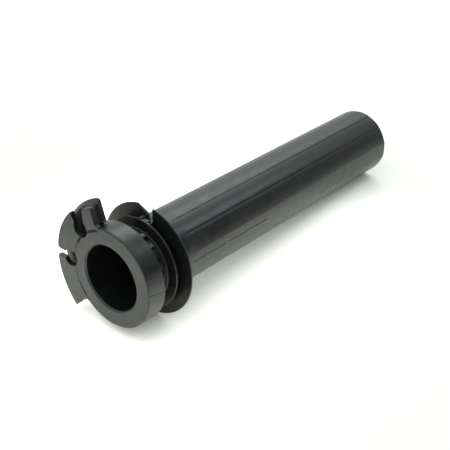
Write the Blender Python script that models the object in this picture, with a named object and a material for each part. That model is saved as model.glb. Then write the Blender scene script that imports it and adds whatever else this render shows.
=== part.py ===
"""Throttle tube for a two-cable motocross twist grip: one moulded piece.

The tube turns on a 22.2 mm handlebar.  The end that sits in the throttle housing
carries a plain bearing collar, a cable quadrant of two parallel plates with a
seat for each cable's nipple, a thin guide disc and the large grip flange.  The
rubber grip is pushed over the long barrel behind the flange.

Frame: +X runs along the tube from the housing end to the tip, +Y points at the
nipple seat on the mould's parting plane, +Z is up.  The origin is on the tube's
axis, in the plane of the housing end.  Lengths are in metres, and angles are
measured round +X from +Y towards +Z.
"""

import math

import bmesh
import bpy

MM = 0.001

# Bore, which turns on the handlebar, and the walls round it
TUBE_LENGTH = 140.2 * MM
BORE_DIAMETER = 22.4 * MM
BORE_MOUTH_CHAMFER = 0.58 * MM
BARREL_ROOT_WALL = 1.7 * MM
BARREL_TIP_WALL = 1.55 * MM
NECK_WALL = 1.4 * MM
TIP_ROUNDING = 0.5 * MM

# Seats for the two cable nipples, and the ways the cables leave them
NIPPLE_DIAMETER = 6.0 * MM
SEAT_INNER_WALL = 4.0 * MM
SEAT_OUTER_WALL = 3.15 * MM
SEAT_FLOOR_WALL = 1.2 * MM
SEAT_RECESS = 0.25 * MM
LOWER_SEAT_DEG = 0.0
UPPER_SEAT_DEG = 45.0
CABLE_SLIT_WIDTH = 2.7 * MM
CABLE_SLIT_LEAD_IN = 0.9 * MM
UPPER_SLOT_NECK = 4.4 * MM
UPPER_SLOT_LEFT_TURN_DEG = 14.4
UPPER_SLOT_RIGHT_TURN_DEG = 39.7

# Cable quadrant: front plate, cable groove and rear plate
QUADRANT_BELOW_SEATS_DEG = 47.0
QUADRANT_ABOVE_SEATS_DEG = 25.0
FRONT_PLATE_THICKNESS = 1.65 * MM
CABLE_GROOVE_WIDTH = 1.7 * MM
REAR_PLATE_THICKNESS = 1.6 * MM
TONGUE_TURN_DEG = 5.0
TONGUE_STEP = 0.85 * MM
REAR_PLATE_PROUD = 0.8 * MM
REAR_PLATE_BEVEL = 1.15 * MM
QUADRANT_FILLET = 1.6 * MM
QUADRANT_CORNER = 0.6 * MM

# Bearing collar at the housing end, cored out from behind
COLLAR_HEIGHT = 5.75 * MM
COLLAR_PAST_QUADRANT = 2.15 * MM
COLLAR_CHAMFER = 0.35 * MM
COLLAR_OUTER_WALL = 1.9 * MM

# Gusset ribs that run down from the collar to the neck
GUSSET_COUNT = 18
GUSSET_WIDTH = 1.5 * MM
GUSSET_START_DEG = -13.0
GUSSET_TOE_GAP = 0.9 * MM

# Thin guide disc, and the space for the housing's wall in front of it
HOUSING_WALL_SPACE = 6.2 * MM
GUIDE_DISC_HEIGHT = 3.25 * MM
GUIDE_DISC_THICKNESS = 0.8 * MM

# Grip flange, and the groove for the housing's rib in front of it
HOUSING_RIB_GROOVE = 2.2 * MM
FLANGE_HEIGHT = 6.55 * MM
FLANGE_THICKNESS = 1.3 * MM
FLANGE_RIM_THICKNESS = 0.45 * MM

# Slot in the flange, with one upright wall and one ramped shoulder.  Its raised floor
# runs forward to the guide disc, where the stop rib stands beside it
SLOT_RIGHT = -2.45 * MM
SLOT_WIDTH = 1.6 * MM
SLOT_FLOOR_HEIGHT = 1.5 * MM
SLOT_SHOULDER_DROP = 2.85 * MM
SLOT_RAMP_SLOPE = 0.51
STOP_RIB_WIDTH = 1.1 * MM
STOP_RIB_FROM_SLOT = 0.8 * MM
STOP_RIB_PROUD = 0.35 * MM

# Barrel panels between fine lengthwise creases
PANEL_COUNT = 12
PANEL_START_DEG = 15.8
PLAIN_SHOULDER_LENGTH = 7.7 * MM
CREASE_DEPTH = 0.14 * MM
CREASE_WIDTH = 0.5 * MM
CREASE_RUN_IN = 0.4 * MM

# Small mould radii
ROOT_FILLET = 0.7 * MM
EDGE_BREAK = 0.15 * MM

# Facets
POINTS_PER_PANEL = 8
FILLET_STEPS = 3
RIM_STEP_DEG = 5.0
SMALL_ARC_STEP_DEG = 15.0

# How far joined shapes sink into each other, and how far cutters stand clear
EMBED = 1.5 * MM
CLEAR = 2.0 * MM

# Radii that follow from the bore
BORE_RADIUS = BORE_DIAMETER / 2
NECK_RADIUS = BORE_RADIUS + NECK_WALL
ROOT_RADIUS = BORE_RADIUS + BARREL_ROOT_WALL
TIP_RADIUS = BORE_RADIUS + BARREL_TIP_WALL
COLLAR_RADIUS = BORE_RADIUS + COLLAR_HEIGHT
DISC_RADIUS = NECK_RADIUS + GUIDE_DISC_HEIGHT
FLANGE_RADIUS = ROOT_RADIUS + FLANGE_HEIGHT
SEAT_RADIUS = NIPPLE_DIAMETER / 2
SEAT_PITCH_RADIUS = BORE_RADIUS + SEAT_INNER_WALL + SEAT_RADIUS
FRONT_PLATE_RADIUS = SEAT_PITCH_RADIUS + SEAT_RADIUS + SEAT_OUTER_WALL
TONGUE_RADIUS = FRONT_PLATE_RADIUS - TONGUE_STEP
REAR_PLATE_RADIUS = FRONT_PLATE_RADIUS + REAR_PLATE_PROUD

# Places along the tube that follow from the housing end
REAR_PLATE_START = FRONT_PLATE_THICKNESS + CABLE_GROOVE_WIDTH
REAR_PLATE_END = REAR_PLATE_START + REAR_PLATE_THICKNESS
SEAT_DEPTH = REAR_PLATE_START + SEAT_RECESS
CORE_FLOOR = SEAT_DEPTH + SEAT_FLOOR_WALL
COLLAR_END = REAR_PLATE_END + COLLAR_PAST_QUADRANT
DISC_START = COLLAR_END + HOUSING_WALL_SPACE
DISC_END = DISC_START + GUIDE_DISC_THICKNESS
FLANGE_START = DISC_END + HOUSING_RIB_GROOVE
FLANGE_END = FLANGE_START + FLANGE_THICKNESS
SHOULDER_END = FLANGE_END + PLAIN_SHOULDER_LENGTH


def remove_scene_objects():
    for old in list(bpy.data.objects):
        bpy.data.objects.remove(old, do_unlink=True)


def black_nylon():
    """Black moulding nylon with a satin surface."""
    material = bpy.data.materials.new("black_nylon")
    material.use_nodes = True
    shader = material.node_tree.nodes["Principled BSDF"]
    shader.inputs["Base Color"].default_value = (0.03, 0.03, 0.032, 1.0)
    shader.inputs["Roughness"].default_value = 0.45
    shader.inputs["Metallic"].default_value = 0.0
    return material


def polar(radius, degrees):
    """A point (y, z) at a radius and an angle from +Y towards +Z."""
    angle = math.radians(degrees)
    return (radius * math.cos(angle), radius * math.sin(angle))


def arc(centre, radius, start_deg, end_deg, step_deg):
    """Points on an arc, both ends included, about step_deg apart."""
    steps = max(2, round(abs(end_deg - start_deg) / step_deg))
    points = []
    for step in range(steps + 1):
        degrees = start_deg + (end_deg - start_deg) * step / steps
        dy, dz = polar(radius, degrees)
        points.append((centre[0] + dy, centre[1] + dz))
    return points


def add_object(name, bm):
    """Turn a bmesh into a smooth-shaded object with sharp edges kept."""
    bmesh.ops.recalc_face_normals(bm, faces=bm.faces[:])
    mesh = bpy.data.meshes.new(name)
    bm.to_mesh(mesh)
    bm.free()
    mesh.shade_smooth()
    mesh.set_sharp_from_angle(angle=math.radians(28))
    obj = bpy.data.objects.new(name, mesh)
    bpy.context.scene.collection.objects.link(obj)
    return obj


def loft(name, sections, closed=False):
    """Skin a row of equal-length point loops; each section is (x, [(y, z), ...]).

    A closed loft joins its last section to its first, as a turned ring does.
    """
    bm = bmesh.new()
    loops = []
    for x, outline in sections:
        loops.append([bm.verts.new((x, y, z)) for y, z in outline])
    pairs = list(zip(loops, loops[1:]))
    if closed:
        pairs.append((loops[-1], loops[0]))
    for first, second in pairs:
        count = len(first)
        for i in range(count):
            j = (i + 1) % count
            bm.faces.new((first[i], first[j], second[j], second[i]))
    if not closed:
        bm.faces.new(list(reversed(loops[0])))
        bm.faces.new(loops[-1])
    return add_object(name, bm)


def prism(name, outline, x_start, x_end):
    return loft(name, [(x_start, outline), (x_end, outline)])


def ring_points():
    """(angle, whether it lies in a crease) for each point round the tube."""
    pitch = 360.0 / PANEL_COUNT
    half_crease = math.degrees(CREASE_WIDTH / 2 / ROOT_RADIUS)
    flat = pitch - 2 * half_crease
    points = []
    for panel in range(PANEL_COUNT):
        start = PANEL_START_DEG + panel * pitch
        points.append((start, True))
        for step in range(POINTS_PER_PANEL - 1):
            share = step / (POINTS_PER_PANEL - 2)
            points.append((start + half_crease + share * flat, False))
    return points


def ring(radius, crease_depth=0.0):
    """A loop of points round the axis; crease points sink by the given depth."""
    loop = []
    for degrees, in_crease in ring_points():
        sink = crease_depth if in_crease else 0.0
        loop.append(polar(radius - sink, degrees))
    return loop


def barrel_radius(x):
    """Outer radius of the barrel, which tapers a little towards the tip."""
    share = (x - FLANGE_END) / (TUBE_LENGTH - FLANGE_END)
    return ROOT_RADIUS + share * (TIP_RADIUS - ROOT_RADIUS)


def root_fillet(x_face, radius, side):
    """Profile (x, r) of the fillet between a cylinder and a disc's face at x_face.

    side is -1 for a face turned to the housing end and +1 for one turned to the
    tip.  The points run in the profile's own order, towards +X.
    """
    points = []
    for step in range(FILLET_STEPS + 1):
        angle = math.radians(90.0 * step / FILLET_STEPS)
        along = ROOT_FILLET * (1.0 - math.sin(angle))
        out = ROOT_FILLET * (1.0 - math.cos(angle))
        points.append((x_face + side * along, radius + out))
    if side > 0:
        points.reverse()
    return points


def turned_profile():
    """Outer profile (x, r) of the tube from the housing end to the flange's back."""
    core_top = COLLAR_RADIUS - COLLAR_OUTER_WALL
    profile = [
        (0.0, COLLAR_RADIUS - COLLAR_CHAMFER),
        (COLLAR_CHAMFER, COLLAR_RADIUS),
        (COLLAR_END - EDGE_BREAK, COLLAR_RADIUS),
        (COLLAR_END, COLLAR_RADIUS - EDGE_BREAK),
        (COLLAR_END, core_top),
        (CORE_FLOOR, core_top),
        (CORE_FLOOR, NECK_RADIUS),
    ]
    profile += root_fillet(DISC_START, NECK_RADIUS, -1)
    profile += [
        (DISC_START, DISC_RADIUS - EDGE_BREAK),
        (DISC_START + EDGE_BREAK, DISC_RADIUS),
        (DISC_END - EDGE_BREAK, DISC_RADIUS),
        (DISC_END, DISC_RADIUS - EDGE_BREAK),
        (DISC_END, ROOT_RADIUS),
        (FLANGE_START, ROOT_RADIUS),
        (FLANGE_START, FLANGE_RADIUS - EDGE_BREAK),
        (FLANGE_START + EDGE_BREAK, FLANGE_RADIUS),
        (FLANGE_START + FLANGE_RIM_THICKNESS, FLANGE_RADIUS - EDGE_BREAK),
    ]
    profile += root_fillet(FLANGE_END, ROOT_RADIUS, 1)
    return profile


def barrel_sections():
    """Loops of the barrel from the plain shoulder to the rounded tip."""
    creased_from = SHOULDER_END + CREASE_RUN_IN
    creased_to = TUBE_LENGTH - TIP_ROUNDING
    sections = [(SHOULDER_END, ring(barrel_radius(SHOULDER_END)))]
    for x in (creased_from, creased_to):
        sections.append((x, ring(barrel_radius(x), CREASE_DEPTH)))
    for degrees in (45.0, 90.0):
        along, out = polar(TIP_ROUNDING, 90.0 - degrees)
        sections.append((creased_to + along, ring(TIP_RADIUS - TIP_ROUNDING + out)))
    return sections


def bore_sections():
    """Loops of the bore from the tip back to the housing end, with its chamfers."""
    mouth = BORE_RADIUS + BORE_MOUTH_CHAMFER
    return [
        (TUBE_LENGTH, ring(mouth)),
        (TUBE_LENGTH - BORE_MOUTH_CHAMFER, ring(BORE_RADIUS)),
        (BORE_MOUTH_CHAMFER, ring(BORE_RADIUS)),
        (0.0, ring(mouth)),
    ]


def tube_body(material):
    """Collar, neck, discs and panelled barrel as one skin round the open bore."""
    sections = [(x, ring(radius)) for x, radius in turned_profile()]
    sections += barrel_sections()
    sections += bore_sections()
    body = loft("throttle_tube", sections, closed=True)
    body.data.materials.append(material)
    return body


def corner(radius, degrees, side):
    """Centre of a plate's rounded corner, and the angle at which its arc begins."""
    reach = radius - QUADRANT_CORNER
    lean = degrees + side * math.degrees(math.asin(QUADRANT_CORNER / reach))
    return polar(reach, lean), lean


def quadrant_outline(outer_radius, tongue_radius):
    """Outline of a quadrant plate, filleted onto the collar at both ends."""
    axis = (0.0, 0.0)
    low = LOWER_SEAT_DEG - QUADRANT_BELOW_SEATS_DEG
    high = UPPER_SEAT_DEG + QUADRANT_ABOVE_SEATS_DEG
    tongue_start = UPPER_SEAT_DEG + TONGUE_TURN_DEG
    reach = COLLAR_RADIUS + QUADRANT_FILLET
    swing = math.degrees(math.asin(QUADRANT_FILLET / reach))
    low_corner, low_lean = corner(outer_radius, low, 1.0)
    high_corner, high_lean = corner(tongue_radius, high, -1.0)
    high_fillet = polar(reach, high + swing)
    low_fillet = polar(reach, low - swing)
    small = SMALL_ARC_STEP_DEG
    points = arc(low_corner, QUADRANT_CORNER, low - 90.0, low_lean, small)
    points += arc(axis, outer_radius, low_lean, tongue_start, RIM_STEP_DEG)[1:]
    points += arc(axis, tongue_radius, tongue_start, high_lean, RIM_STEP_DEG)
    points += arc(high_corner, QUADRANT_CORNER, high_lean, high + 90.0, small)[1:]
    points += arc(high_fillet, QUADRANT_FILLET, high - 90.0, high + swing - 180.0, small)
    points += arc(axis, COLLAR_RADIUS - EMBED, high + swing, low - swing, RIM_STEP_DEG)
    points += arc(low_fillet, QUADRANT_FILLET, low - swing + 180.0, low + 90.0, small)
    return points


def front_plate():
    """Front plate, flush with the housing end of the collar."""
    rim = quadrant_outline(FRONT_PLATE_RADIUS, TONGUE_RADIUS)
    face = quadrant_outline(FRONT_PLATE_RADIUS - EDGE_BREAK, TONGUE_RADIUS - EDGE_BREAK)
    sections = [(0.0, face), (EDGE_BREAK, rim), (FRONT_PLATE_THICKNESS, rim)]
    return loft("front_plate", sections)


def rear_plate():
    """Rear plate, with the broad bevel that leads the cable into its groove."""
    inner = REAR_PLATE_RADIUS - REAR_PLATE_BEVEL
    face = quadrant_outline(inner, inner)
    rim = quadrant_outline(REAR_PLATE_RADIUS, REAR_PLATE_RADIUS)
    bevel_end = REAR_PLATE_START + REAR_PLATE_BEVEL
    sections = [(REAR_PLATE_START, face), (bevel_end, rim), (REAR_PLATE_END, rim)]
    return loft("rear_plate", sections)


def gusset(index):
    """One sloping rib, as high as the collar at its front and low at its toe."""
    angle = math.radians(GUSSET_START_DEG + index * 360.0 / GUSSET_COUNT)
    front = CORE_FLOOR - EDGE_BREAK
    toe = DISC_START - GUSSET_TOE_GAP
    low = NECK_RADIUS - EDGE_BREAK
    high = COLLAR_RADIUS - 2 * EDGE_BREAK
    side = [(front, low), (front, high), (COLLAR_END, high), (toe, low)]
    bm = bmesh.new()
    flanks = []
    for offset in (-GUSSET_WIDTH / 2, GUSSET_WIDTH / 2):
        loop = []
        for x, radius in side:
            y = radius * math.cos(angle) - offset * math.sin(angle)
            z = radius * math.sin(angle) + offset * math.cos(angle)
            loop.append(bm.verts.new((x, y, z)))
        flanks.append(loop)
    for i in range(len(side)):
        j = (i + 1) % len(side)
        bm.faces.new((flanks[0][i], flanks[0][j], flanks[1][j], flanks[1][i]))
    bm.faces.new(list(reversed(flanks[0])))
    bm.faces.new(flanks[1])
    return add_object("gusset_%02d" % index, bm)


def stop_rib():
    """Short rib that bridges the guide disc and the flange beside the slot."""
    low = ROOT_RADIUS - EDGE_BREAK
    high = DISC_RADIUS + STOP_RIB_PROUD
    right = SLOT_RIGHT + SLOT_WIDTH + STOP_RIB_FROM_SLOT
    left = right + STOP_RIB_WIDTH
    outline = [(right, low), (left, low), (left, high), (right, high)]
    start = DISC_END - GUIDE_DISC_THICKNESS / 2
    return prism("stop_rib", outline, start, FLANGE_START + FLANGE_THICKNESS / 2)


def slot_floor():
    """Raised floor that runs from the guide disc through the flange's slot."""
    low = ROOT_RADIUS - EDGE_BREAK
    high = ROOT_RADIUS + SLOT_FLOOR_HEIGHT
    right = SLOT_RIGHT - EDGE_BREAK
    left = SLOT_RIGHT + SLOT_WIDTH + STOP_RIB_FROM_SLOT + STOP_RIB_WIDTH / 2
    outline = [(right, low), (left, low), (left, high), (right, high)]
    start = DISC_END - GUIDE_DISC_THICKNESS / 2
    return prism("slot_floor", outline, start, FLANGE_END - 2 * EDGE_BREAK)


def flange_slot():
    """Cutter for the flange's slot: one upright wall and one ramped shoulder."""
    left = SLOT_RIGHT + SLOT_WIDTH
    floor = ROOT_RADIUS + ROOT_FILLET
    shoulder = FLANGE_RADIUS - SLOT_SHOULDER_DROP
    ramp_end = FLANGE_RADIUS
    ramp_top = shoulder + SLOT_RAMP_SLOPE * (ramp_end - left)
    outline = [
        (SLOT_RIGHT, floor),
        (left, floor),
        (left, shoulder),
        (ramp_end, ramp_top),
        (ramp_end, ramp_top + CLEAR),
        (SLOT_RIGHT, ramp_top + CLEAR),
    ]
    return prism("flange_slot", outline, FLANGE_START - EDGE_BREAK, FLANGE_END + ROOT_FILLET)


def nipple_seat(name, degrees):
    """Cutter for a blind round seat that holds a cable's nipple."""
    centre = polar(SEAT_PITCH_RADIUS, degrees)
    outline = arc(centre, SEAT_RADIUS, 0.0, 360.0, SMALL_ARC_STEP_DEG)[:-1]
    return prism(name, outline, -CLEAR, SEAT_DEPTH)


def cable_slit():
    """Cutter for the narrow slit from the lower seat to the plate's rim."""
    half = CABLE_SLIT_WIDTH / 2
    inner = SEAT_PITCH_RADIUS
    outer = FRONT_PLATE_RADIUS + CLEAR
    lead = FRONT_PLATE_RADIUS - CABLE_SLIT_LEAD_IN
    flare = half + CABLE_SLIT_LEAD_IN + CLEAR
    outline = [(inner, -half), (outer, -half), (outer, flare), (lead, half), (inner, half)]
    return prism("cable_slit", outline, -CLEAR, FRONT_PLATE_THICKNESS + CABLE_GROOVE_WIDTH / 2)


def upper_slot():
    """Cutter for the flared slot through which the upper nipple is laid in."""
    centre = polar(SEAT_PITCH_RADIUS, UPPER_SEAT_DEG)
    left_deg = UPPER_SEAT_DEG + UPPER_SLOT_LEFT_TURN_DEG
    right_deg = UPPER_SEAT_DEG + UPPER_SLOT_RIGHT_TURN_DEG
    lean = (left_deg + right_deg) / 2
    half = UPPER_SLOT_NECK / 2
    ahead_y, ahead_z = polar(math.sqrt(SEAT_RADIUS ** 2 - half ** 2), lean)
    side_y, side_z = polar(half, lean - 90.0)
    left = (centre[0] + ahead_y + side_y, centre[1] + ahead_z + side_z)
    right = (centre[0] + ahead_y - side_y, centre[1] + ahead_z - side_z)
    length = FRONT_PLATE_RADIUS / 2
    left_y, left_z = polar(length, left_deg)
    right_y, right_z = polar(length, right_deg)
    outline = [
        centre,
        left,
        (left[0] + left_y, left[1] + left_z),
        (right[0] + right_y, right[1] + right_z),
        right,
    ]
    return prism("upper_slot", outline, -CLEAR, FRONT_PLATE_THICKNESS + CABLE_GROOVE_WIDTH / 2)


def combine(target, tool, operation):
    """Union or difference with the exact solver; the tool becomes a hidden guide."""
    modifier = target.modifiers.new(tool.name, "BOOLEAN")
    modifier.operation = operation
    modifier.solver = "EXACT"
    modifier.object = tool
    tool.hide_render = True
    tool.display_type = "WIRE"


def build():
    remove_scene_objects()
    body = tube_body(black_nylon())
    combine(body, front_plate(), "UNION")
    combine(body, rear_plate(), "UNION")
    for index in range(GUSSET_COUNT):
        combine(body, gusset(index), "UNION")
    combine(body, flange_slot(), "DIFFERENCE")
    combine(body, slot_floor(), "UNION")
    combine(body, stop_rib(), "UNION")
    combine(body, nipple_seat("lower_seat", LOWER_SEAT_DEG), "DIFFERENCE")
    combine(body, nipple_seat("upper_seat", UPPER_SEAT_DEG), "DIFFERENCE")
    combine(body, cable_slit(), "DIFFERENCE")
    combine(body, upper_slot(), "DIFFERENCE")


build()
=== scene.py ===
# %% [markdown]
# # A throttle tube in black nylon
#
# A throttle tube is the plastic sleeve inside a motorcycle's twist grip. It turns on
# the handlebar, and its housing end winds up the throttle cables. This lesson dresses
# one in Blender: the CAD model gives the place and the size, and each cell below makes
# one feature of the moulding, from the turned sleeve to the finest mould line.

# %% Load the CAD frame
import math

import bmesh
import bpy
from mathutils import Matrix, Vector


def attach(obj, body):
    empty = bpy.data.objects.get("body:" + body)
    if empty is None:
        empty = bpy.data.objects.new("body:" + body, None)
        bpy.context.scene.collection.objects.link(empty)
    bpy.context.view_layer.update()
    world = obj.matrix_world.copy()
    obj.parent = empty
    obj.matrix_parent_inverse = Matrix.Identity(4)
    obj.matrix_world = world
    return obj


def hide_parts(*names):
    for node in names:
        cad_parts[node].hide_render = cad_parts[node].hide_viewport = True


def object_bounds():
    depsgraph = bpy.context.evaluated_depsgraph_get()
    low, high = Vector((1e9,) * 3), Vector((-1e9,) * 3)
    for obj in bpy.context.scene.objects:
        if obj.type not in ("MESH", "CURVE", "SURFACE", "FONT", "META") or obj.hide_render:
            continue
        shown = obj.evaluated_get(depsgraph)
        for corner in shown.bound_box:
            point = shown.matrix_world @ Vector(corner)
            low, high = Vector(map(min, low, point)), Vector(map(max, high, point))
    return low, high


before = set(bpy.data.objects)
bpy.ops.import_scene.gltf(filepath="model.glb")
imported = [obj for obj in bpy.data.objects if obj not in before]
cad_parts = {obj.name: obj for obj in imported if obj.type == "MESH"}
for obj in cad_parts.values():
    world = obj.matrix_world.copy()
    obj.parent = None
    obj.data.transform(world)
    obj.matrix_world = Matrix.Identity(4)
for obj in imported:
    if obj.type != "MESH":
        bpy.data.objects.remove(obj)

MM = 0.001
CAD_NODE = "throttle_tube"
cad_low, cad_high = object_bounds()
print("CAD box in mm:", [round(v / MM, 2) for v in (*cad_low, *cad_high)])

# %% [markdown]
# ## Camera
#
# The photograph looks down on the tube from the side of its housing end. A camera can
# be set by trial, or worked out from circles in the picture whose real size is known.
# Here the bore, the collar and the flange gave its place, so the numbers are real ones:
# millimetres and degrees in the part's own frame, and a lens for a 36 mm sensor.

# %% Camera
CAMERA_PLACE = Vector((-156.62, -173.08, 157.68)) * MM
CAMERA_AZIMUTH_DEG = 50.754
CAMERA_ELEVATION_DEG = 30.610
CAMERA_ROLL_DEG = -2.247
CAMERA_SENSOR_MM = 36.0
CAMERA_LENS_MM = 72.057


def make_camera():
    """A camera whose azimuth runs from +Y towards +X and whose elevation looks down."""
    azimuth = math.radians(CAMERA_AZIMUTH_DEG)
    elevation = math.radians(CAMERA_ELEVATION_DEG)
    level = Vector((math.sin(azimuth), math.cos(azimuth), 0.0))
    forward = level * math.cos(elevation) - Vector((0.0, 0.0, math.sin(elevation)))
    right = forward.cross(Vector((0.0, 0.0, 1.0))).normalized()
    up = right.cross(forward)
    up = Matrix.Rotation(math.radians(CAMERA_ROLL_DEG), 3, forward) @ up
    right = forward.cross(up)
    data = bpy.data.cameras.new("camera")
    data.sensor_width = CAMERA_SENSOR_MM
    data.lens = CAMERA_LENS_MM
    camera = bpy.data.objects.new("camera", data)
    turn = Matrix((right, up, -forward)).transposed()
    camera.matrix_world = Matrix.Translation(CAMERA_PLACE) @ turn.to_4x4()
    bpy.context.scene.collection.objects.link(camera)
    bpy.context.scene.camera = camera
    return camera


camera = make_camera()
print("camera at mm:", [round(v / MM, 1) for v in camera.location])

# %% [markdown]
# ## Colours and nodes
#
# Colours are easiest to pick as the hex values that any paint program shows. Blender
# calculates in linear light, so one function turns them over. Another adds a node with
# its settings and links in one call, and two short ones add the nodes used most: a sum,
# and a range turned into another. Shaders and geometry trees both use them.

# %% Helpers for colours, nodes and objects
def linear(hex_colour):
    """An sRGB hex colour, such as 1c1c1d, as a linear RGBA tuple."""
    channels = []
    for start in (0, 2, 4):
        value = int(hex_colour[start:start + 2], 16) / 255.0
        if value <= 0.04045:
            channels.append(value / 12.92)
        else:
            channels.append(((value + 0.055) / 1.055) ** 2.4)
    return (*channels, 1.0)


def add_node(tree, kind, inputs=(), **settings):
    """Add a node; inputs maps a socket's name or number to a value or an output."""
    node = tree.nodes.new(kind)
    for name, value in settings.items():
        setattr(node, name, value)
    for key, value in dict(inputs).items():
        if isinstance(value, bpy.types.NodeSocket):
            tree.links.new(value, node.inputs[key])
        else:
            node.inputs[key].default_value = value
    return node


def calculate(tree, operation, *values):
    """Add a Math node on numbers or outputs, and return its result."""
    node = add_node(tree, "ShaderNodeMath", dict(enumerate(values)), operation=operation)
    return node.outputs[0]


def remap(tree, value, start, end, low=0.0, high=1.0, easing="SMOOTHSTEP"):
    """Turn the range start..end into low..high, held at both ends."""
    return add_node(tree, "ShaderNodeMapRange", {
        "Value": value, "From Min": start, "From Max": end, "To Min": low, "To Max": high},
        interpolation_type=easing).outputs["Result"]


def new_material(name):
    """A material with an empty node tree."""
    material = bpy.data.materials.new(name)
    material.use_nodes = True
    material.node_tree.nodes.clear()
    return material, material.node_tree


def plain_mesh(made):
    """Replace a piece's modifiers by the plain mesh that they make."""
    settled = bpy.context.evaluated_depsgraph_get()
    mesh = bpy.data.meshes.new_from_object(made.evaluated_get(settled))
    made.modifiers.clear()
    made.data = mesh
    return made


def object_from_bmesh(name, bm):
    bmesh.ops.recalc_face_normals(bm, faces=bm.faces[:])
    mesh = bpy.data.meshes.new(name)
    bm.to_mesh(mesh)
    bm.free()
    made = bpy.data.objects.new(name, mesh)
    bpy.context.scene.collection.objects.link(made)
    return made


def report(made):
    """Print how many faces a mesh has and whether it is closed."""
    bm = bmesh.new()
    bm.from_mesh(made.data)
    open_edges = sum(1 for edge in bm.edges if not edge.is_manifold)
    volume = bm.calc_volume() / MM ** 3
    print("%-20s %6d faces, %d open edges, %.0f mm3" % (
        made.name, len(bm.faces), open_edges, volume))
    bm.free()


print("matt black #1c1c1d in linear light:", [round(v, 4) for v in linear("1c1c1d")])

# %% [markdown]
# ## Black moulding nylon
#
# Glass-filled nylon 6, injection moulded in a spark-eroded tool. The pigment is carbon
# black, so almost no light comes back from inside it: what the eye reads is the sheen of
# the skin. That skin is satin, a little wavy where the thick parts sank as they cooled,
# and marked with faint lengthwise drag lines where the barrel slid out of the tool and
# with finer marks round it from the cutter that made the tool. Colour, roughness and
# bump carry these scales: 0.25 mm grain, 4 mm waviness, and lines half a millimetre
# apart. The real grain is finer, about 0.05 mm, which would not show at this size, so it
# is drawn coarser.

# %% Black moulding nylon
NYLON_COLOUR = "101112"
NYLON_SCUFFED = "1b1c1d"
NYLON_IOR = 1.56
NYLON_ROUGHNESS = 0.29
GRAIN_SIZE = 0.25 * MM
WAVE_SIZE = 4.0 * MM
DRAG_LINE_SPACING = 0.5 * MM
DRAG_LINE_LENGTH = 16.0 * MM
RING_MARK_SPACING = 0.5 * MM
RING_MARK_LENGTH = 2.2 * MM
WAVE_HEIGHT = 0.08 * MM
DRAG_LINE_HEIGHT = 0.012 * MM
RING_MARK_HEIGHT = 0.018 * MM
GRAIN_HEIGHT = 0.012 * MM


def nylon_material():
    material, tree = new_material("black_moulding_nylon")
    place = add_node(tree, "ShaderNodeTexCoord").outputs["Object"]

    def noise(size, detail, roughness, squeeze=(1.0, 1.0, 1.0)):
        """Noise of this size, drawn out along each axis that is squeezed."""
        squeezed = add_node(tree, "ShaderNodeMapping", {"Vector": place, "Scale": squeeze})
        return add_node(tree, "ShaderNodeTexNoise", {
            "Vector": squeezed.outputs["Vector"], "Scale": 1.0 / size,
            "Detail": detail, "Roughness": roughness}).outputs["Fac"]

    along = DRAG_LINE_SPACING / DRAG_LINE_LENGTH
    round_it = RING_MARK_SPACING / RING_MARK_LENGTH
    grain = noise(GRAIN_SIZE, 3.0, 0.6)
    waves = noise(WAVE_SIZE, 2.0, 0.5)
    drag = noise(DRAG_LINE_SPACING, 4.0, 0.65, (along, 1.0, 1.0))
    rings = noise(RING_MARK_SPACING, 2.0, 0.5, (1.0, round_it, round_it))
    colour = add_node(tree, "ShaderNodeMix", {
        "Factor": remap(tree, drag, 0.45, 0.8, easing="LINEAR"),
        6: linear(NYLON_COLOUR), 7: linear(NYLON_SCUFFED)}, data_type="RGBA")
    sheen = remap(tree, waves, 0.3, 0.7, NYLON_ROUGHNESS - 0.04, NYLON_ROUGHNESS + 0.05,
                  easing="LINEAR")
    rough = calculate(tree, "MULTIPLY_ADD", drag, 0.10, sheen)
    bumped = {}
    for pattern, height in ((waves, WAVE_HEIGHT), (drag, DRAG_LINE_HEIGHT),
                            (rings, RING_MARK_HEIGHT), (grain, GRAIN_HEIGHT)):
        bump = add_node(tree, "ShaderNodeBump", {
            "Height": pattern, "Strength": 1.0, "Distance": height, **bumped})
        bumped = {"Normal": bump.outputs["Normal"]}
    shader = add_node(tree, "ShaderNodeBsdfPrincipled", {
        "Base Color": colour.outputs[2], "Roughness": rough, "IOR": NYLON_IOR, **bumped})
    add_node(tree, "ShaderNodeOutputMaterial", {"Surface": shader.outputs["BSDF"]})
    return material


nylon = nylon_material()
print("nylon colour", NYLON_COLOUR, "roughness", NYLON_ROUGHNESS)

# %% [markdown]
# ## Rounded corners by formula
#
# Every edge of a moulding has a radius, because the tool's cutter had one. A Bevel
# modifier can add them afterwards, but it stumbles where shapes have been joined. So
# each outline here is written as a few sharp corners with a radius each, and one
# function turns every corner into an arc.

# %% Outlines with rounded corners
ARC_STEP_DEG = 15.0


def polar(radius, degrees):
    """A point (y, z) at a radius and an angle from +Y towards +Z."""
    angle = math.radians(degrees)
    return (radius * math.cos(angle), radius * math.sin(angle))


def arc(centre, radius, start_deg, end_deg, step_deg=ARC_STEP_DEG):
    """Points on an arc, both ends included, about step_deg apart."""
    steps = max(2, round(abs(end_deg - start_deg) / step_deg))
    points = []
    for step in range(steps + 1):
        offset = polar(radius, start_deg + (end_deg - start_deg) * step / steps)
        points.append((centre[0] + offset[0], centre[1] + offset[1]))
    return points


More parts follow.
